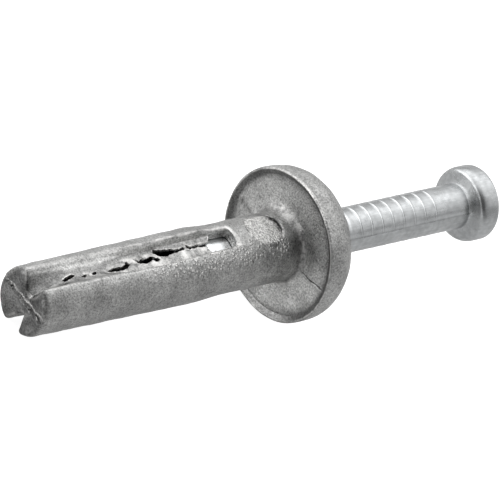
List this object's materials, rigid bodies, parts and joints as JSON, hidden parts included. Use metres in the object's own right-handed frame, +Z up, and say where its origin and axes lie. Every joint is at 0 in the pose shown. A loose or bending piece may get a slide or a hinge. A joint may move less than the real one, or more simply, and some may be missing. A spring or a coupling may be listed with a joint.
{
  "type": "hammer drive anchor",
  "caption": "Mushroom-head hammer drive anchor: a slotted die-cast zinc sleeve with a flanged dome head, and a button-head nail part-way in its bore, lying on its side.",
  "frame": {"origin": "bottom centre of the whole anchor's box, on the surface that it lies on", "axes": "+X along the anchor, from the slotted tip towards the nail's head; +Z up. The anchor's own axis rises towards the head, because it lies on its tip and on its flange's edge."},
  "size_m": [0.0516, 0.0132, 0.0133],
  "materials": {
    "zinc_casting": "die-cast zinc alloy, as cast",
    "plated_steel": "bright zinc plating"
  },
  "bodies": {
    "casting": {"anchor_body": "zinc_casting"},
    "nail": {"drive_pin": "plated_steel"}
  },
  "joints": [
    {"name": "nail_drive", "type": "slide", "parent": "casting", "child": "nail", "axis": [-0.9916, 0, -0.1297], "range_m": [0, 0.01546]}
  ]
}
